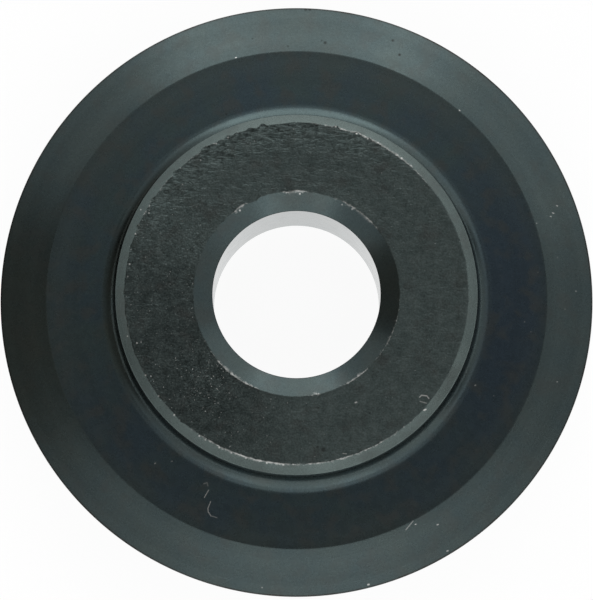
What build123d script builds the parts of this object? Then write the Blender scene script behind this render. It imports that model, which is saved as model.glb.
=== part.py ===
"""Cutter wheel for a hand pipe cutter, in hardened steel.

The wheel is one forged and turned piece. A thick hub with a plain bore runs on the
cutter's pin and keeps the wheel square between the two ears that hold it. A shallow
conical lead opens each mouth of the bore. A thin web grows out of the hub through a
generous root fillet and tapers slightly towards the rim. At the knee the web meets the
ground bevel, and the two bevels come together in the cutting edge.

The frame has its origin on the bore's axis in the cutting plane, midway between the hub
faces, with +Z along the bore. Both sides of the wheel are alike.
"""

import os
from math import isclose, radians, sin, tan

from build123d import *

# Driving dimensions, in millimetres and degrees
outside_diameter = 32.0  # across the cutting edge
bore_diameter = 9.0  # plain running bore
lead_width = 1.0  # of the cone at each mouth of the bore, measured along the radius
lead_angle = 30.0  # between that cone and the hub face
hub_diameter = 19.4
hub_width = 8.0  # from one hub face to the other
hub_chamfer = 0.5  # 45 degree chamfer round each hub face
root_radius = 0.9  # fillet between the hub and the web
bevel_width = 2.5  # ground band, measured along the radius
bevel_angle = 20.0  # between one bevel and the cutting plane
web_taper = 3.0  # between one side of the web and the cutting plane
edge_radius = 0.05  # nose of the cutting edge

# Places on the section, as a distance from the axis and a height above the cutting plane
bore_radius = bore_diameter / 2
hub_radius = hub_diameter / 2
hub_top = hub_width / 2
lead_depth = lead_width * tan(radians(lead_angle))
knee_radius = outside_diameter / 2 - bevel_width
# The bevels would meet at this radius if the edge were perfectly sharp. The nose is
# tangent to both, and it is the nose that reaches the outside diameter.
apex_radius = outside_diameter / 2 + edge_radius * (1 / sin(radians(bevel_angle)) - 1)
knee_height = (apex_radius - knee_radius) * tan(radians(bevel_angle))
root_height = knee_height + (knee_radius - hub_radius) * tan(radians(web_taper))


def corners(section, radius, height):
    """The section's corners at this radius, above and below the cutting plane."""
    return section.vertices().filter_by(
        lambda corner: isclose(corner.X, radius) and isclose(abs(corner.Y), height, abs_tol=1e-9)
    )


def wheel_section():
    """Half of the wheel's cross-section, on one side of the axis."""
    with BuildSketch(Plane.XZ) as section:
        with BuildLine():
            upper_outline = Polyline(
                (bore_radius, 0),
                (bore_radius, hub_top - lead_depth),
                (bore_radius + lead_width, hub_top),
                (hub_radius, hub_top),
                (hub_radius, root_height),
                (knee_radius, knee_height),
                (apex_radius, 0),
            )
            mirror(upper_outline, about=Plane.XZ)
        make_face()
        chamfer(corners(section, hub_radius, hub_top), hub_chamfer)
        fillet(corners(section, hub_radius, root_height), root_radius)
        fillet(corners(section, apex_radius, 0), edge_radius)
    return section.sketch


def cutter_wheel():
    """The whole wheel: its section turned once round the bore's axis."""
    return revolve(wheel_section(), axis=Axis.Z)


os.makedirs("parts", exist_ok=True)
export_step(cutter_wheel(), "parts/cutter_wheel.step")
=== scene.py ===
"""Looks of a pipe cutter's wheel, which lies on a pale floor under soft studio light.

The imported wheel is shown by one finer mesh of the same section. Its turned and ground
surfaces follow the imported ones. The two hub faces keep the rough skin that the forging
left, and the turned chamfers cut through that skin in a wavy line with small bare nicks.
"""

from math import acos, ceil, cos, hypot, pi, radians, sin, tan, tau

import bpy
import numpy as np
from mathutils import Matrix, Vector


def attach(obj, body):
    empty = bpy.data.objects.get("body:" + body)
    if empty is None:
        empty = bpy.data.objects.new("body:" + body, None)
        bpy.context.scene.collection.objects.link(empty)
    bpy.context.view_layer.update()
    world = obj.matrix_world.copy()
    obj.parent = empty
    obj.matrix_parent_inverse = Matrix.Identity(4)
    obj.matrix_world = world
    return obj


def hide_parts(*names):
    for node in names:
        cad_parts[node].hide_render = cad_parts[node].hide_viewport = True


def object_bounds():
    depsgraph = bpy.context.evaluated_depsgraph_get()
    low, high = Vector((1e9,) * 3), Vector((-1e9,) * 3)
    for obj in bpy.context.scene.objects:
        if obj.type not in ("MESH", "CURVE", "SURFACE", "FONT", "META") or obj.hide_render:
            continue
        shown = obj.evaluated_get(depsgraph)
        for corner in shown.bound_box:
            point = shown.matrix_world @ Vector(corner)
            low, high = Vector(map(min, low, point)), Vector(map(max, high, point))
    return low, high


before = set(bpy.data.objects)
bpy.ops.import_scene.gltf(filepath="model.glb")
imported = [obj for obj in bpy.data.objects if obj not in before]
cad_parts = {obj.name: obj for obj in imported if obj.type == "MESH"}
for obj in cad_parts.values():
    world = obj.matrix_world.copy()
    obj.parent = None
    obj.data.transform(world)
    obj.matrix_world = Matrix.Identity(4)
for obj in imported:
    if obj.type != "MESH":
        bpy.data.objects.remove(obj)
cad_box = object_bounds()

mm = 0.001
wheel_node = "cutter_wheel"
steel_slot = "blackened_steel"

# How finely the mesh is cut, in millimetres
turns = 500  # corners in each ring
guard = 0.04  # from a corner of the section to the ring on each side of it
face_step = 0.090  # between rings on the rough hub faces
cone_step = 0.30  # between rings on the chamfers
plain_step = 0.9  # between rings elsewhere
root_steps = 20  # in the fillet between hub and web

# The rough skin of the hub faces, in millimetres
skin_low = 0.030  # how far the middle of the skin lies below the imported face
level_width = 0.6  # from an edge of the face to where the skin lies that low
skin_deepest = 0.18
wave_size, wave_height = 2.6, 0.012
lump_size, lump_height = 0.85, 0.010
ripple_size, ripple_height = (0.55, 0.24), 0.020
fold_size, fold_height = (0.72, 0.30), 0.050
sway_size, sway_share = 0.7, 0.5  # how the folds wind: over what length, and by how much of a fold
wrinkled_width = 1.9  # of the band inside the outer edge where the skin is folded
cone_reach = 0.04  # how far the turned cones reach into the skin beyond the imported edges
chip_reach = 0.20  # how far a chip reaches in from the edge of the face
chip_depth = 0.26
inner_chip_share = 0.22  # of that depth, for the chips round the bore
chip_length = 0.36  # along the edge
chip_sharpness = 1.2
chip_least = 0.2  # share of the chips that is everywhere along the edges
bare_width = 0.06  # of the worn line along an edge
bare_least = 0.3  # share of that wear that is everywhere along the edges

# Where things are on the wheel: middle and half width, in degrees anticlockwise from +X, and
# how strong they are
rippled_arc = (128.0, 75.0, 1.0)
wrinkled_arc = (106.0, 44.0, 1.0)
chipped_arcs = ((112.0, 40.0, 1.0), (165.0, 30.0, 0.3), (210.0, 20.0, 0.2))
sooty_arcs = ((216.0, 38.0, 1.0), (186.0, 22.0, 0.85))
speckled_arcs = ((212.0, 52.0, 1.0), (160.0, 24.0, 1.0))
# Bare wear along the outer edge of the face, partly painted highlight of that edge
bare_and_lit_outer_arcs = (
    (62.0, 20.0, 1.0),
    (254.0, 20.0, 1.0),
    (288.0, 20.0, 0.8),
    (135.0, 30.0, 0.45),
    (190.0, 30.0, 0.3),
)
bare_inner_arcs = (
    (90.0, 9.0, 1.0),
    (52.0, 14.0, 1.0),
    (124.0, 5.0, 1.0),
    (232.0, 16.0, 1.0),
    (280.0, 5.0, 0.8),
    (305.0, 8.0, 1.0),
    (337.0, 18.0, 0.6),
)
# Rubbed wear on the chamfer round the hub face, partly painted highlight where the lamps leave the chamfer
# dark
rubbed_and_lit_arcs = (
    (82.0, 36.0, 0.8),
    (312.0, 30.0, 0.72),
    (284.0, 14.0, 1.0),
    (267.0, 8.0, 0.6),
    (240.0, 16.0, 0.8),
    (213.0, 9.0, 0.45),
    (329.0, 13.0, 1.0),
    (10.0, 40.0, 0.25),
)
blued_arcs = ((356.0, 30.0, 1.0), (318.0, 24.0, 0.4), (225.0, 24.0, 0.3))
# Painted shade: the corner between hub and web is coloured darker on these arcs
corner_shade_arcs = ((153.0, 25.0, 1.0), (208.0, 26.0, 0.35))  # of the corner between hub and web
# Painted highlight: the same corner is coloured lighter on this arc
corner_highlight_arc = (93.0, 31.0, 1.0)  # of the same corner
speckled_spot = (-4.9, -4.5, 1.7)  # x, y and radius in millimetres

# How far finishes reach, in millimetres
# The painted shade in the corner reaches this far out from the hub
corner_shade_reach, corner_shade_fade = 0.65, 0.35  # out from the hub, and how soft its outer end is
# The painted highlight in the corner reaches this far out from the hub
corner_highlight_reach, corner_highlight_fade = 0.75, 0.30  # in the same way
web_start, web_fade = 0.35, 0.60  # from the hub to where the web's finish starts, and on to full
knee_fade = 0.08
browned_radii = (11.4, 13.4)  # between these, the web turns browner
brown_edge, brown_edge_full = 0.11, 0.05  # in from the cutting edge

# Colours of the steel, from its oxide to what lies on it or shows through it, and painted shade and
# highlight
turned_dark = (0.091, 0.125, 0.129, 1)
turned_light = (0.102, 0.133, 0.131, 1)
web_dark = (0.080, 0.118, 0.138, 1)
web_light = (0.088, 0.127, 0.130, 1)
web_blue = (0.072, 0.103, 0.134, 1)
web_brown = (0.096, 0.124, 0.123, 1)
rim_dark = (0.100, 0.130, 0.126, 1)
# Rubbed wear on the chamfer, partly painted highlight
rim_rubbed_and_lit = (0.160, 0.203, 0.195, 1)
skin_dark = (0.092, 0.121, 0.118, 1)
skin_light = (0.122, 0.154, 0.149, 1)
skin_soot = (0.040, 0.051, 0.050, 1)
skin_stain = (0.082, 0.088, 0.084, 1)
# Dirt and painted shade in the skin's hollows
skin_dirt_and_shade = (0.034, 0.043, 0.042, 1)
tarnish_grey = (0.106, 0.118, 0.113, 1)
# Painted highlight in the corner between hub and web
corner_highlight_grey = (0.128, 0.176, 0.178, 1)
# Painted shade in the corner between hub and web
corner_shade_black = (0.036, 0.042, 0.038, 1)
edge_brown = (0.046, 0.040, 0.035, 1)
pit_black = (0.034, 0.036, 0.034, 1)
bare_metal = (0.68, 0.69, 0.67, 1)

# Small marks on the upper side, in millimetres: from x, y to x, y, half width and strength.
# The first seven are one fine hair-like scratch on the web.
marks = (
    (-4.98, -9.98, -4.80, -9.92, 0.024, 0.5),
    (-4.80, -9.92, -4.76, -10.10, 0.024, 0.4),
    (-4.72, -10.32, -4.95, -10.72, 0.024, 1.0),
    (-4.61, -10.93, -4.76, -11.30, 0.023, 1.0),
    (-4.76, -11.30, -4.74, -11.50, 0.025, 1.0),
    (-4.74, -11.50, -4.60, -11.70, 0.026, 1.0),
    (-4.60, -11.70, -4.28, -11.80, 0.022, 0.7),
    (6.57, -5.57, 6.67, -5.47, 0.032, 0.75),
    (6.67, -5.47, 6.95, -5.50, 0.034, 0.90),
    (6.95, -5.50, 7.06, -5.64, 0.032, 0.75),
    (6.60, -5.80, 6.93, -5.89, 0.030, 0.50),
    (6.80, -6.26, 6.90, -6.22, 0.040, 1.0),
    (3.14, -5.86, 3.20, -5.84, 0.040, 1.0),
    (2.48, -8.58, 2.66, -8.60, 0.025, 0.6),
    (-7.62, -8.89, -7.58, -8.87, 0.030, 0.9),
    (-6.71, -8.78, -6.69, -8.76, 0.025, 0.7),
    (9.60, -4.68, 9.64, -4.66, 0.030, 0.9),
    (13.72, 4.54, 13.76, 4.53, 0.028, 0.8),
    (13.84, 4.74, 13.90, 4.72, 0.030, 0.9),
    (14.06, 5.15, 14.12, 5.13, 0.030, 0.7),
    (5.88, -12.44, 6.26, -11.98, 0.028, 0.45),
    (6.38, -12.16, 6.42, -12.14, 0.030, 0.9),
    (7.56, -12.16, 7.62, -12.14, 0.030, 0.9),
    (3.84, -15.35, 3.90, -15.33, 0.040, 1.0),
    (8.10, -13.54, 8.16, -13.52, 0.035, 0.8),
    (-3.30, 13.15, -3.26, 13.16, 0.030, 0.9),
    (8.80, 10.28, 8.84, 10.26, 0.030, 0.9),
)

# Bare dots on the upper side, in millimetres: x, y, half width and strength
dots = (
    (-8.34, 4.54, 0.036, 0.8),
    (-7.90, 4.32, 0.042, 0.6),
    (-8.61, 3.20, 0.045, 0.9),
    (-8.92, 1.57, 0.045, 0.8),
    (-9.02, 0.90, 0.036, 0.5),
    (-9.03, -2.29, 0.036, 0.6),
    (-8.52, -2.67, 0.045, 0.9),
    (-8.30, -2.62, 0.036, 0.5),
    (-8.06, -4.39, 0.045, 0.9),
    (-7.77, -4.45, 0.040, 0.7),
    (-7.36, -5.51, 0.040, 0.8),
    (-6.52, -6.52, 0.048, 0.9),
    (-6.10, 5.86, 0.036, 0.5),
    (-5.14, 7.16, 0.040, 0.5),
    (-4.30, 8.06, 0.040, 0.7),
    (-3.66, 8.40, 0.045, 0.8),
    (2.10, 9.00, 0.045, 1.0),
    (3.22, 8.62, 0.050, 1.0),
    (3.82, 8.34, 0.045, 0.9),
    (4.37, 8.12, 0.045, 0.9),
    (5.63, 7.28, 0.055, 1.0),
    (-3.03, 4.47, 0.050, 1.0),
    (0.18, 5.37, 0.050, 0.9),
    (2.44, 4.78, 0.036, 0.7),
    (2.98, 4.54, 0.042, 0.8),
    (12.96, 4.13, 0.030, 0.7),
    (14.05, -4.43, 0.034, 0.7),
    (12.29, -1.23, 0.030, 0.5),
    (15.09, 0.50, 0.034, 0.7),
    (-1.85, -15.51, 0.034, 0.7),
    (-5.18, -7.64, 0.046, 0.9),
    (-4.86, -7.85, 0.040, 0.7),
    (-4.12, -8.25, 0.052, 1.0),
    (-3.47, -8.54, 0.048, 0.9),
    (-2.69, -8.81, 0.050, 0.9),
    (-1.98, -8.98, 0.046, 0.8),
    (-1.58, -9.08, 0.054, 1.0),
    (-0.71, -9.18, 0.050, 0.9),
    (12.62, -1.77, 0.028, 0.4),
    (10.62, -5.23, 0.028, 0.35),
    (14.49, -0.50, 0.028, 0.35),
    (14.09, 2.30, 0.028, 0.4),
    (13.02, 1.46, 0.026, 0.3),
)

# Dark pits on the upper side, in the same way
pits = (
    (1.55, 14.00, 0.085, 0.75),
    (1.36, 14.12, 0.050, 0.5),
    (5.22, 14.17, 0.065, 0.75),
    (5.58, 13.36, 0.075, 0.85),
    (-2.39, 14.24, 0.050, 0.55),
    (-0.46, 13.79, 0.055, 0.6),
    (0.50, 15.92, 0.090, 0.7),
    (0.72, 15.92, 0.080, 0.7),
    (-3.79, 10.04, 0.060, 0.4),
    (1.44, -8.38, 0.110, 0.7),
    (1.11, -8.24, 0.060, 0.6),
    (4.08, -4.19, 0.045, 0.6),
    (4.36, -4.20, 0.045, 0.6),
    (1.16, -6.14, 0.050, 0.6),
    (3.90, -6.40, 0.070, 0.4),
    (7.10, -3.10, 0.060, 0.5),
    (7.58, -2.70, 0.045, 0.5),
)

# The camera, from the photograph's side: almost straight above, leaning towards -Y
camera_lean = 6.0  # degrees from the bore's axis
camera_distance = 0.35
camera_aim = (0, 0.06, 0)  # just beyond the wheel's middle
sensor_width = 36.0
pixels_high = 600
pixels_per_mm = 18.5

# The studio: a ring of tall soft panels round the wheel, dark overhead where the camera is
room_level = 0.02
floor_half = 1.2
floor_level = 0.8  # as it lights the wheel
floor_white, floor_shade = 0.94, 0.12  # as it is seen: its own white, and what light and shadow add
lamp_distance = 0.6
overhead_size, overhead_brightness = 0.30, 0.13
panel_azimuths = (0, 50, 90, 125, 180, 230, 270, 310)
dim_azimuth, dim_colour = 180, (1.12, 1.0, 0.85)  # the panels on this side are a little warm
# Each row's elevation, how far its panels reach above and below that, and how bright they are
panel_rows = (
    (63, 12, (0.15, 0.25, 0.45, 0.20, 0.15, 0.35, 0.60, 0.40)),
    (27, 25, (0.40, 0.65, 1.05, 0.40, 0.10, 0.45, 0.75, 0.60)),
)


def section_rings():
    """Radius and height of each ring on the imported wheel's upper half, from bore to edge."""
    corners = np.array([corner.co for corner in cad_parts[wheel_node].data.vertices])
    radius = np.hypot(corners[:, 0], corners[:, 1])
    rings = {(round(r / mm, 3), round(z / mm, 3)) for r, z in zip(radius, corners[:, 2])}
    return sorted((ring for ring in rings if ring[1] > 0), key=lambda ring: (ring[0], -ring[1]))


def without_straight(rings):
    """The rings without those that lie on a straight line between their neighbours."""
    kept = [rings[0]]
    for ring, after in zip(rings[1:], rings[2:]):
        before = Vector(ring) - Vector(kept[-1])
        ahead = Vector(after) - Vector(ring)
        if before.angle(ahead) > radians(3) and before.length > 0.25 * guard:
            kept.append(ring)
    return [*kept, rings[-1]]


def refined(rings, step_of):
    """More rings along the same section, with one close to each side of every corner."""
    finer = []
    for start, end in zip(rings, rings[1:]):
        length = hypot(end[0] - start[0], end[1] - start[1])
        shares = [0]
        if length > 5 * guard:
            pieces = ceil((length - 2 * guard) / step_of(start, end))
            shares += list(np.linspace(guard / length, 1 - guard / length, pieces + 1))
        finer += [tuple(np.array(start) * (1 - share) + np.array(end) * share) for share in shares]
    return [*finer, rings[-1]]


def with_round_root(rings):
    """The rings with those of the root fillet set evenly on its arc."""
    root = [ring for ring in rings if hub_radius <= ring[0] < knee_radius and ring[1] < rim_height]
    run, drop = root[-1][0] - root[0][0], root[0][1] - root[-1][1]
    root_radius = (run**2 + drop**2) / (2 * run)
    turned = np.linspace(0, acos(1 - run / root_radius), root_steps + 1)
    across = root[0][0] + root_radius * (1 - np.cos(turned))
    upwards = root[0][1] - root_radius * np.sin(turned)
    others = [ring for ring in rings if ring not in root]
    return sorted([*others, *zip(across, upwards)], key=lambda ring: (ring[0], -ring[1]))


rings = without_straight(section_rings())
edge_radius = rings[-1][0]
hub_top = max(z for r, z in rings)
face_inner = min(r for r, z in rings if z == hub_top)
face_outer = max(r for r, z in rings if z == hub_top)
bore_radius, lead_foot = rings[0]
lead_slope = (hub_top - lead_foot) / (face_inner - bore_radius)
rim_height = max(z for r, z in rings if r > face_outer)
hub_radius = max(r for r, z in rings if z == rim_height)
knee_radius = max(r for r, z in rings if r < edge_radius - 1)
rings = [(bore_radius, lead_foot / 2), *with_round_root(rings)]
ring_angle = np.arange(turns)[None, :] * tau / turns


def ring_step(start, end):
    """How far apart the rings are on a stretch of the section."""
    if start[1] == end[1]:
        return face_step
    return cone_step if min(start[1], end[1]) >= min(lead_foot, rim_height) else plain_step


def lattice_noise(x, y, seed):
    """Smooth noise from -1 to 1 that changes over about one unit of x and y."""
    grid = 256
    table = np.random.default_rng(seed).uniform(-1, 1, (grid, grid))
    column, row = np.floor(x).astype(int), np.floor(y).astype(int)
    u, v = x - column, y - row
    u, v = u * u * (3 - 2 * u), v * v * (3 - 2 * v)
    corner = [table[(column + i) % grid, (row + j) % grid] for j in (0, 1) for i in (0, 1)]
    return (corner[0] * (1 - u) + corner[1] * u) * (1 - v) + (corner[2] * (1 - u) + corner[3] * u) * v


def towards(angle, *arcs):
    """From 0 to 1: how far an angle in radians is inside one of the arcs, which are in degrees."""
    share = 0
    for middle, half_width, strength in arcs:
        apart = np.abs((np.degrees(angle) - middle + 180) % 360 - 180)
        share = np.maximum(share, np.clip(1.5 - apart / half_width, 0, 1) * strength)
    return share


def at_least(lowest, share):
    """The share from 0 to 1 moved to the range from the lowest value to 1."""
    return lowest + (1 - lowest) * share


def rippled_share(radius, angle):
    """How strongly the skin is rippled: most of all where it is folded."""
    return 0.36 + 0.3 * towards(angle, rippled_arc) + 0.34 * folded_share(radius, angle)


def folded_share(radius, angle):
    """How strongly the skin is folded: only near the outer edge, on one side."""
    return towards(angle, wrinkled_arc) * np.clip((radius - face_outer) / wrinkled_width + 1, 0, 1)


def speckled_share(radius, angle):
    """How strongly the skin is speckled: on one side, and most of all round one spot."""
    x, y, size = speckled_spot
    apart = np.hypot(radius * np.cos(angle) - x, radius * np.sin(angle) - y)
    return 0.6 * towards(angle, *speckled_arcs) + 0.8 * np.exp(-((apart / size) ** 2))


def along_edge(angle, radius, length, seed):
    """Noise along a circular edge that changes over about one length."""
    around = radius / length
    return lattice_noise(40 + around * np.cos(angle), 40 + around * np.sin(angle), seed)


def skin_depth(radius, angle, side):
    """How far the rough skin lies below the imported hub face."""
    x, y = radius * np.cos(angle), radius * np.sin(angle)
    seed = 10 if side > 0 else 30
    depth = skin_low * np.clip(np.minimum(face_outer - radius, radius - face_inner) / level_width, 0, 1)
    depth = depth + wave_height * lattice_noise(x / wave_size, y / wave_size, seed)
    depth = depth + lump_height * lattice_noise(x / lump_size, y / lump_size, seed + 1)
    ripples = lattice_noise(x / ripple_size[0], y / ripple_size[1], seed + 2)
    depth = depth + ripple_height * rippled_share(radius, angle) * ripples
    sway = sway_share * lattice_noise(x / sway_size, y / sway_size, seed + 6)
    folds = 2 * np.abs(lattice_noise(x / fold_size[0] + sway, y / fold_size[1] + sway, seed + 7)) - 0.5
    depth = depth + fold_height * folded_share(radius, angle) * folds
    for edge, sign, share in ((face_outer, 1, 1), (face_inner, -1, inner_chip_share)):
        chips = np.clip(along_edge(angle, edge, chip_length, seed + 3 + sign), 0, 1) ** chip_sharpness
        chips = chips * share * at_least(chip_least, towards(angle, *chipped_arcs))
        inward = np.clip(sign * (edge - radius), 0, None)
        depth = depth + chip_depth * chips * np.exp(-((inward / chip_reach) ** 2))
    return np.clip(depth, 0, skin_deepest)


def half_wheel(side):
    """Radius and height of the corners on the upper side (1) or the lower one (-1), ring by ring.

    With them come which rings are on the face, and the rings' radius without the rough skin.
    """
    ring = np.array(refined(rings, ring_step))
    radius, height, angle = ring[:, :1], ring[:, 1:], ring_angle
    on_face = np.isclose(height, hub_top)
    depth = np.where(on_face, skin_depth(radius, angle, side), 0)
    outer_depth = skin_depth(np.array([[face_outer]]), angle, side)
    inner_depth = skin_depth(np.array([[face_inner]]), angle, side)
    outward = np.clip((radius - face_inner) / (face_outer - face_inner), 0, 1) * on_face
    on_rim = (radius > face_outer) & (height > rim_height - 1.5 * guard)
    on_lead = (radius < face_inner) & ~on_face
    rim_share = on_rim * (hub_radius - radius) / (hub_radius - face_outer)
    lead_share = on_lead * (radius - bore_radius) / (face_inner - bore_radius)
    moved_out = (outer_depth - cone_reach) * (outward + rim_share)
    moved_in = (inner_depth / lead_slope - cone_reach) * ((1 - outward) * on_face + lead_share)
    new_radius = radius + moved_out - moved_in
    new_height = height - depth - outer_depth * rim_share - inner_depth * lead_share
    new_height = new_height - cone_reach * (on_rim - rim_share)
    return new_radius, new_height * side, on_face, radius


def wheel_mesh():
    """One closed mesh of the wheel, whose rings run from the middle of the bore and back to it."""
    sides = zip(half_wheel(1), half_wheel(-1))
    radius, height, on_face, flat_radius = (np.concatenate([upper, lower[::-1]]) for upper, lower in sides)
    count = len(radius)
    place = np.stack([radius * np.cos(ring_angle), radius * np.sin(ring_angle), height], axis=2) * mm
    ring, turn = np.meshgrid(np.arange(count), np.arange(turns), indexing="ij")
    after, beside = (ring + 1) % count, (turn + 1) % turns
    corners = [ring * turns + turn, after * turns + turn, after * turns + beside, ring * turns + beside]
    faces = np.stack(corners, axis=2).reshape(-1, 4)
    mesh = bpy.data.meshes.new("wheel")
    mesh.from_pydata(place.reshape(-1, 3), [], faces)
    mesh.validate()
    mesh.polygons.foreach_set("use_smooth", np.ones(len(faces), bool))
    add_bake_map(mesh, ring, turn)
    add_finishes(mesh, radius, np.abs(height), on_face, flat_radius)
    return mesh


def add_bake_map(mesh, ring, turn):
    """A map for baked textures: once round the wheel across, and along the section upwards."""
    layer = mesh.uv_layers.new(name="OFBake")
    across = np.stack([turn, turn, turn + 1, turn + 1], axis=2) / turns
    upwards = np.stack([ring, ring + 1, ring + 1, ring], axis=2) / len(ring)
    layer.data.foreach_set("uv", np.stack([across, upwards], axis=3).astype(np.float32).ravel())


def add_finishes(mesh, radius, height, on_face, flat_radius):
    """Where each finish is, and where shade and highlight are painted, as attributes of the mesh that the
    material reads.
    """
    on_rim = (height > rim_height - skin_deepest) & (flat_radius < hub_radius + guard)
    in_corner = (flat_radius > hub_radius - guard) & (height < rim_height - 0.5 * guard)
    # Painted shade in the corner, fading out from the hub
    corner_shade = np.clip((hub_radius + corner_shade_reach - radius) / corner_shade_fade, 0, 1)
    # Painted highlight in the corner, fading out from the hub
    corner_highlight = np.clip((hub_radius + corner_highlight_reach - radius) / corner_highlight_fade, 0, 1)
    outer_edge = np.exp(-(((flat_radius - face_outer) / bare_width) ** 2))
    inner_edge = np.exp(-(((flat_radius - face_inner) / bare_width) ** 2))
    # Bare wear along the outer edge, partly painted highlight
    outer_edge = outer_edge * at_least(bare_least, towards(ring_angle, *bare_and_lit_outer_arcs))
    inner_edge = inner_edge * at_least(bare_least, towards(ring_angle, *bare_inner_arcs))
    finishes = {
        "skin": on_face,
        "web": web_share(radius),
        "bore": flat_radius == bore_radius,
        "rim": on_rim & (flat_radius > face_outer),
        "edge": (outer_edge + inner_edge) * on_rim,
        "rippled": rippled_share(flat_radius, ring_angle),
        "folded": folded_share(flat_radius, ring_angle) * on_face,
        "speckled": speckled_share(flat_radius, ring_angle),
        "sooty": towards(ring_angle, *sooty_arcs),
        # Rubbed wear on the chamfer, partly painted highlight
        "rubbed_and_lit": towards(ring_angle, *rubbed_and_lit_arcs),
        "blued": towards(ring_angle, *blued_arcs),
        # Painted shade in the corner between hub and web
        "corner_shaded": corner_shade * towards(ring_angle, *corner_shade_arcs) * in_corner,
        # Painted highlight in the corner between hub and web
        "corner_lit": corner_highlight * towards(ring_angle, corner_highlight_arc) * in_corner,
    }
    for name, values in finishes.items():
        layer = mesh.attributes.new(name, "FLOAT", "POINT")
        layer.data.foreach_set("value", np.broadcast_to(values, height.shape).astype(np.float32).ravel())


def web_share(radius):
    """1 on the web, falling to 0 at the knee and in the fillet."""
    inside = np.clip((knee_radius - radius) / knee_fade, 0, 1)
    outside = np.clip((radius - hub_radius - web_start) / web_fade, 0, 1)
    return inside * outside


class Surface:
    """A material, and short ways to add nodes to it."""

    def __init__(self, name):
        self.material = bpy.data.materials.new(name)
        self.material.use_nodes = True
        self.tree = self.material.node_tree
        self.tree.nodes.clear()

    def node(self, kind, **settings):
        made = self.tree.nodes.new("ShaderNode" + kind)
        for name, value in settings.items():
            setattr(made, name, value)
        return made

    def give(self, socket, value):
        """Links a socket to another one, or sets it to a plain value."""
        if isinstance(value, bpy.types.NodeSocket):
            self.tree.links.new(value, socket)
        else:
            socket.default_value = value

    def math(self, operation, *values):
        made = self.node("Math", operation=operation)
        for socket, value in zip(made.inputs, values):
            self.give(socket, value)
        return made.outputs[0]

    def all_by(self, operation, first, *others):
        """One operation on all of the values in turn."""
        for other in others:
            first = self.math(operation, first, other)
        return first

    def times(self, *values):
        return self.all_by("MULTIPLY", *values)

    def plus(self, *values):
        return self.all_by("ADD", *values)

    def most(self, *values):
        return self.all_by("MAXIMUM", *values)

    def vector(self, operation, *values, output=0, scale=None):
        made = self.node("VectorMath", operation=operation)
        for socket, value in zip(made.inputs, values):
            self.give(socket, value)
        if scale is not None:
            self.give(made.inputs["Scale"], scale)
        return made.outputs[output]

    def noise(self, place, size, detail=2.0, roughness=0.5, distortion=0.0):
        """Noise around 0.5 whose lumps are about one size across, in the units of place."""
        made = self.node("TexNoise")
        self.give(made.inputs["Vector"], place)
        self.give(made.inputs["Scale"], 1 / size)
        self.give(made.inputs["Detail"], detail)
        self.give(made.inputs["Roughness"], roughness)
        self.give(made.inputs["Distortion"], distortion)
        return made.outputs["Fac"]

    def lines(self, distance, size, detail):
        """Noise along one distance only."""
        made = self.node("TexNoise", noise_dimensions="1D")
        self.give(made.inputs["W"], distance)
        self.give(made.inputs["Scale"], 1 / size)
        self.give(made.inputs["Detail"], detail)
        return made.outputs["Fac"]

    def ranged(self, value, low, high, to_low=0.0, to_high=1.0):
        """The value moved from one range to another, and held inside it."""
        made = self.node("MapRange")
        for name, given in (
            ("Value", value),
            ("From Min", low),
            ("From Max", high),
            ("To Min", to_low),
            ("To Max", to_high),
        ):
            self.give(made.inputs[name], given)
        return made.outputs[0]

    def mixed(self, factor, first, second, blend="MIX"):
        made = self.node("Mix", data_type="RGBA", blend_type=blend)
        self.give(made.inputs[0], factor)
        self.give(made.inputs[6], first)
        self.give(made.inputs[7], second)
        return made.outputs[2]

    def grey_of(self, value):
        made = self.node("CombineColor")
        for socket in made.inputs:
            self.give(socket, value)
        return made.outputs[0]

    def attribute(self, name):
        return self.node("Attribute", attribute_name=name).outputs["Fac"]

    def bump(self, height, distance, strength, normal=None):
        made = self.node("Bump")
        self.give(made.inputs["Height"], height)
        self.give(made.inputs["Distance"], distance)
        self.give(made.inputs["Strength"], strength)
        if normal is not None:
            self.give(made.inputs["Normal"], normal)
        return made.outputs[0]

    def finish(self, shader):
        self.tree.links.new(shader, self.node("OutputMaterial").inputs["Surface"])
        return self.material


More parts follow.
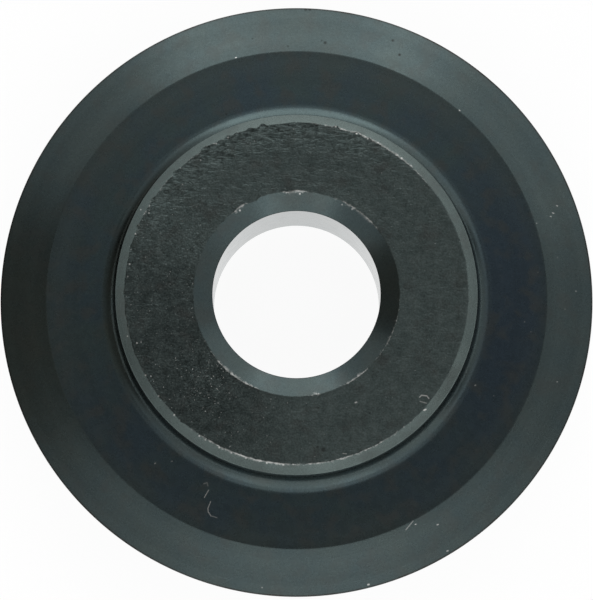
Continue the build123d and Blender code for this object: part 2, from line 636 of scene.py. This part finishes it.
class Steel(Surface):
    """Satin black oxide on turned steel, with a coarser skin on the hub faces.

    Places and sizes are in millimetres. The wheel's attributes say where each finish is.
    """

    def __init__(self):
        super().__init__(steel_slot)
        self.place = self.vector("SCALE", self.node("TexCoord").outputs["Object"], scale=1 / mm)
        self.flat = self.vector("MULTIPLY", self.place, (1, 1, 0))
        self.radius = self.vector("LENGTH", self.flat, output=1)
        split = self.node("SeparateXYZ")
        self.give(split.inputs[0], self.place)
        self.upper = self.math("GREATER_THAN", split.outputs["Z"], 0.0)
        # Grows along every turned surface, so that noise along it makes rings round the axis
        height = self.math("ABSOLUTE", split.outputs["Z"])
        along = self.math("SUBTRACT", self.radius, self.times(height, 0.6))
        self.tool_lines = self.lines(along, 0.12, 3)
        self.bands = self.lines(along, 0.9, 2)
        self.cloud = self.noise(self.place, 2.4, 4, 0.55)
        self.mottle = self.noise(self.place, 0.55, 4, 0.6)
        self.grain = self.noise(self.place, 0.10, 2, 0.6)
        # The skin's ripples, and the crests between the flakes that it is folded into
        self.ripples = self.noise(self.vector("MULTIPLY", self.place, (0.5, 1, 1)), 0.17, 2, 0.5, 0.6)
        flakes = self.noise(self.vector("MULTIPLY", self.place, (0.38, 1, 1)), 0.27, 1, 0.5, 0.6)
        self.crests = self.math("ABSOLUTE", self.math("SUBTRACT", flakes, 0.5))
        patches = self.ranged(self.noise(self.place, 1.1, 2, 0.5), 0.50, 0.66, 0.0, 0.6)
        self.tarnish = self.times(patches, self.ranged(self.attribute("web"), 0.0, 1.0, 0.55, 1.0))

    def web_colour(self):
        """Blue on one side of the web, and browner towards the knee on the other."""
        blued = self.attribute("blued")
        colour = self.mixed(self.ranged(self.cloud, 0.38, 0.62), web_dark, web_light)
        blue = self.times(blued, self.ranged(self.cloud, 0.3, 0.7, 0.7, 1))
        colour = self.mixed(blue, colour, web_blue)
        near_knee = self.ranged(self.radius, *browned_radii)
        clouded = self.ranged(self.cloud, 0.3, 0.6, 0.3, 1)
        brown = self.times(near_knee, clouded, self.ranged(blued, 0, 1, 1.0, 0.3))
        return self.mixed(brown, colour, web_brown)

    def turned_colour(self):
        """The oxide on every turned and ground surface, with rubbed wear partly painted as highlight on
        the chamfer, and painted highlight and painted shade in the corner between hub and web.
        """
        colour = self.mixed(self.ranged(self.cloud, 0.35, 0.65), turned_dark, turned_light)
        # Rubbed wear on the chamfer, lighter, partly painted highlight
        rim_colour = self.mixed(self.attribute("rubbed_and_lit"), rim_dark, rim_rubbed_and_lit)
        colour = self.mixed(self.attribute("rim"), colour, rim_colour)
        colour = self.mixed(self.attribute("web"), colour, self.web_colour())
        colour = self.mixed(self.tarnish, colour, tarnish_grey)
        # Painted highlight: lighter in the corner between hub and web on one side
        colour = self.mixed(self.attribute("corner_lit"), colour, corner_highlight_grey)
        # Painted shade: darker in the corner between hub and web on one side
        return self.mixed(self.times(self.attribute("corner_shaded"), 0.92), colour, corner_shade_black)

    def skin_colour(self):
        """The rough skin, with soot and stains, and with dirt and painted shade in its hollows."""
        colour = self.mixed(self.ranged(self.mottle, 0.3, 0.7), skin_dark, skin_light)
        soot = self.times(self.attribute("sooty"), self.ranged(self.mottle, 0.3, 0.6, 0.90, 0.52))
        colour = self.mixed(soot, colour, skin_soot)
        stains = self.ranged(self.noise(self.place, 1.3, 3, 0.6), 0.54, 0.70, 0.0, 0.55)
        colour = self.mixed(stains, colour, skin_stain)
        # Dirt and painted shade: darker in the hollows between the folds' crests and in the ripples' lows
        hollows = self.times(self.ranged(self.crests, 0.05, 0.16), self.attribute("folded"))
        lows = self.times(self.ranged(self.ripples, 0.50, 0.30), self.attribute("rippled"))
        dirt_and_shade = self.plus(self.times(hollows, 0.65), self.times(lows, 0.45))
        return self.mixed(dirt_and_shade, colour, skin_dirt_and_shade)

    def stroke(self, start, end, half_width):
        """1 on a short straight mark between two points, seen along Z, and 0 away from it."""
        run = Vector(end) - Vector(start)
        offset = self.vector("SUBTRACT", self.flat, start)
        share = self.vector("DOT_PRODUCT", offset, run / run.length_squared, output=1)
        share = self.math("MINIMUM", self.most(share, 0.0), 1.0)
        nearest = self.vector("SCALE", tuple(run), scale=share)
        away = self.vector("LENGTH", self.vector("SUBTRACT", offset, nearest), output=1)
        return self.ranged(away, half_width * 0.5, half_width * 1.4, 1.0, 0.0)

    def dotted(self, places):
        """The dots of a list: each has its strength at its middle, seen along Z, and 0 away from it."""
        total = 0.0
        for x, y, half_width, strength in places:
            away = self.vector("DISTANCE", self.flat, (x, y, 0), output=1)
            dot = self.ranged(away, half_width * 0.5, half_width * 1.4, strength, 0.0)
            total = self.most(total, dot)
        return total

    def marked(self):
        """The bare dots and marks of the lists."""
        total = self.dotted(dots)
        for x0, y0, x1, y1, half_width, strength in marks:
            mark = self.stroke((x0, y0, 0), (x1, y1, 0), half_width)
            total = self.most(total, self.times(mark, strength))
        return total

    def worn(self):
        """Where bare metal shows: nicks along the edges, partly painted highlight on the outer edge of the
        face, specks in the skin, and the marks.
        """
        edge, speckled = self.attribute("edge"), self.attribute("speckled")
        broken = self.times(self.noise(self.place, 0.20, 3, 0.7), 0.9)
        nicks = self.ranged(self.plus(broken, self.times(edge, 0.5)), 0.72, 0.88)
        blots = self.ranged(self.noise(self.place, 0.34, 1), 0.42, 0.58, 0.40, 1.0)
        nicks = self.times(nicks, edge, blots)
        peaks = self.plus(self.noise(self.place, 0.11, 1), self.times(speckled, 0.05))
        bright = self.ranged(speckled, 0.0, 1.2, 0.40, 0.75)
        specks = self.times(self.ranged(peaks, 0.735, 0.83), bright, self.attribute("skin"))
        return self.most(nicks, specks, self.times(self.marked(), self.upper))

    def colour(self):
        """The oxide and the skin, with the brown cutting edge, the pits and the bare metal."""
        skin, speckled = self.attribute("skin"), self.attribute("speckled")
        colour = self.mixed(skin, self.turned_colour(), self.skin_colour())
        nose = self.ranged(self.radius, edge_radius - brown_edge, edge_radius - brown_edge_full)
        nose = self.times(nose, self.ranged(self.tarnish, 0.0, 0.5, 0.6, 0.95))
        colour = self.mixed(nose, colour, edge_brown)
        # Fine grain, and faint rings left by the tool
        coarse = self.times(self.plus(self.times(speckled, 0.9), 0.64), skin)
        grains = self.times(self.math("SUBTRACT", self.grain, 0.5), self.plus(coarse, 0.5))
        shade = self.plus(grains, 1.0, self.ranged(self.bands, 0.3, 0.7, -0.04, 0.04))
        colour = self.mixed(1.0, colour, self.grey_of(shade), "MULTIPLY")
        colour = self.mixed(self.times(self.dotted(pits), self.upper), colour, pit_black)
        return self.mixed(self.worn(), colour, bare_metal)

    def roughness(self):
        """Rougher on the skin, and smoother on the wall of the bore."""
        roughness = self.ranged(self.mottle, 0.3, 0.7, 0.25, 0.30)
        roughness = self.plus(roughness, self.times(self.attribute("skin"), 0.16))
        return self.math("SUBTRACT", roughness, self.times(self.attribute("bore"), 0.14))

    def normal(self):
        """Tool lines on the turned surfaces, fine grain, and the relief of the skin."""
        skin = self.attribute("skin")
        lined = self.bump(self.tool_lines, 0.0014 * mm, self.ranged(self.attribute("web"), 0, 1, 1.0, 0.3))
        grained = self.bump(self.grain, 0.010 * mm, self.ranged(skin, 0, 1, 0.08, 1.0), lined)
        # The skin's relief, in millimetres: ripples all over, sharp crests where it is folded, and grit
        waves = self.times(self.math("SUBTRACT", self.ripples, 0.5), 0.060, self.attribute("rippled"))
        sharp = self.times(self.crests, self.attribute("folded"), -0.27)
        grit = self.math("SUBTRACT", self.noise(self.place, 0.14, 1), 0.5)
        grit = self.times(grit, self.attribute("speckled"), 0.050)
        return self.bump(self.times(self.plus(waves, sharp, grit), skin), mm, 1.0, grained)


def blackened_steel():
    """The finished material of the wheel."""
    surface = Steel()
    shader = surface.node("BsdfPrincipled")
    shader.inputs["Metallic"].default_value = 1.0
    surface.give(shader.inputs["Base Color"], surface.colour())
    surface.give(shader.inputs["Roughness"], surface.roughness())
    surface.give(shader.inputs["Normal"], surface.normal())
    return surface.finish(shader.outputs[0])


def wheel():
    """The dressed wheel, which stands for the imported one."""
    piece = bpy.data.objects.new("wheel", wheel_mesh())
    bpy.context.scene.collection.objects.link(piece)
    piece.data.materials.append(blackened_steel())
    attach(piece, "root")
    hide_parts(wheel_node)
    return piece


def grey(level):
    return (level, level, level, 1)


def floor():
    """A pale floor under the hub. Seen directly or in a reflection it is white, with the shadow."""
    mesh = bpy.data.meshes.new("floor")
    sides = ((-1, -1), (1, -1), (1, 1), (-1, 1))
    corners = [(x * floor_half, y * floor_half, cad_box[0].z) for x, y in sides]
    mesh.from_pydata(corners, [], [(0, 1, 2, 3)])
    surface = Surface("pale_floor")
    path = surface.node("LightPath")
    seen = surface.most(*(path.outputs[f"Is {kind} Ray"] for kind in ("Camera", "Glossy", "Transmission")))
    plain = surface.node("BsdfDiffuse")
    plain.inputs["Color"].default_value = grey(floor_level)
    shaded = surface.node("BsdfDiffuse")
    shaded.inputs["Color"].default_value = grey(floor_shade)
    white = surface.node("Emission")
    white.inputs["Color"].default_value = grey(1)
    white.inputs["Strength"].default_value = floor_white
    bright = surface.node("AddShader")
    surface.give(bright.inputs[0], white.outputs[0])
    surface.give(bright.inputs[1], shaded.outputs[0])
    shown = surface.node("MixShader")
    surface.give(shown.inputs[0], seen)
    surface.give(shown.inputs[1], plain.outputs[0])
    surface.give(shown.inputs[2], bright.outputs[0])
    mesh.materials.append(surface.finish(shown.outputs[0]))
    piece = bpy.data.objects.new("floor", mesh)
    bpy.context.scene.collection.objects.link(piece)


def direction(azimuth, elevation):
    """A unit vector, with the azimuth anticlockwise from +X, in degrees."""
    a, e = radians(azimuth), radians(elevation)
    return Vector((cos(a) * cos(e), sin(a) * cos(e), sin(e)))


def lamp_size(reach):
    """How wide a lamp is that reaches this many degrees to each side, seen from the wheel."""
    return 2 * lamp_distance * tan(radians(reach))


def lamp(name, azimuth, elevation, width, height, brightness, colour=(1, 1, 1)):
    """A soft rectangular lamp that faces the wheel. Brightness 1 looks white in a mirror."""
    data = bpy.data.lights.new(name, "AREA")
    data.color = colour
    data.shape = "RECTANGLE"
    data.size, data.size_y = width, height
    data.energy = brightness * pi * width * height
    lamp_object = bpy.data.objects.new(name, data)
    lamp_object.location = direction(azimuth, elevation) * lamp_distance
    lamp_object.rotation_euler = direction(azimuth, elevation).to_track_quat("Z", "Y").to_euler()
    lamp_object.visible_camera = False
    bpy.context.scene.collection.objects.link(lamp_object)


def studio():
    """The dim room, white where the camera sees it, and the soft lamps."""
    world = bpy.data.worlds.new("studio")
    world.use_nodes = True
    tree = world.node_tree
    tree.nodes.clear()
    path = tree.nodes.new("ShaderNodeLightPath")
    seen = tree.nodes.new("ShaderNodeMath")
    seen.operation = "MAXIMUM"
    tree.links.new(path.outputs["Is Camera Ray"], seen.inputs[0])
    tree.links.new(path.outputs["Is Transmission Ray"], seen.inputs[1])
    mix = tree.nodes.new("ShaderNodeMixShader")
    tree.links.new(seen.outputs[0], mix.inputs[0])
    for slot, level in ((1, room_level), (2, 1.0)):
        background = tree.nodes.new("ShaderNodeBackground")
        background.inputs["Color"].default_value = grey(level)
        tree.links.new(background.outputs[0], mix.inputs[slot])
    tree.links.new(mix.outputs[0], tree.nodes.new("ShaderNodeOutputWorld").inputs["Surface"])
    bpy.context.scene.world = world
    lamp("lamp_overhead", 90, 90, overhead_size, overhead_size, overhead_brightness)
    share = 180 / len(panel_azimuths)  # each panel's reach along its row
    for row, (elevation, reach, levels) in enumerate(panel_rows):
        width, height = lamp_size(share) * cos(radians(elevation)), lamp_size(reach)
        for azimuth, brightness in zip(panel_azimuths, levels):
            colour = dim_colour if azimuth == dim_azimuth else (1, 1, 1)
            lamp(f"panel_{row}_{azimuth}", azimuth, elevation, width, height, brightness, colour)


def camera():
    """A long lens above the wheel. The wheel just fits in the photograph's frame."""
    data = bpy.data.cameras.new("camera")
    data.sensor_width = sensor_width
    data.lens = sensor_width * camera_distance / (pixels_high / pixels_per_mm * mm)
    data.clip_start = 0.01
    piece = bpy.data.objects.new("camera", data)
    away = direction(270, 90 - camera_lean)
    piece.location = away * camera_distance + Vector(camera_aim) * mm
    piece.rotation_euler = away.to_track_quat("Z", "Y").to_euler()
    bpy.context.scene.collection.objects.link(piece)
    bpy.context.scene.camera = piece


camera()
wheel()
floor()
studio()
bpy.context.scene.view_settings.view_transform = "Standard"
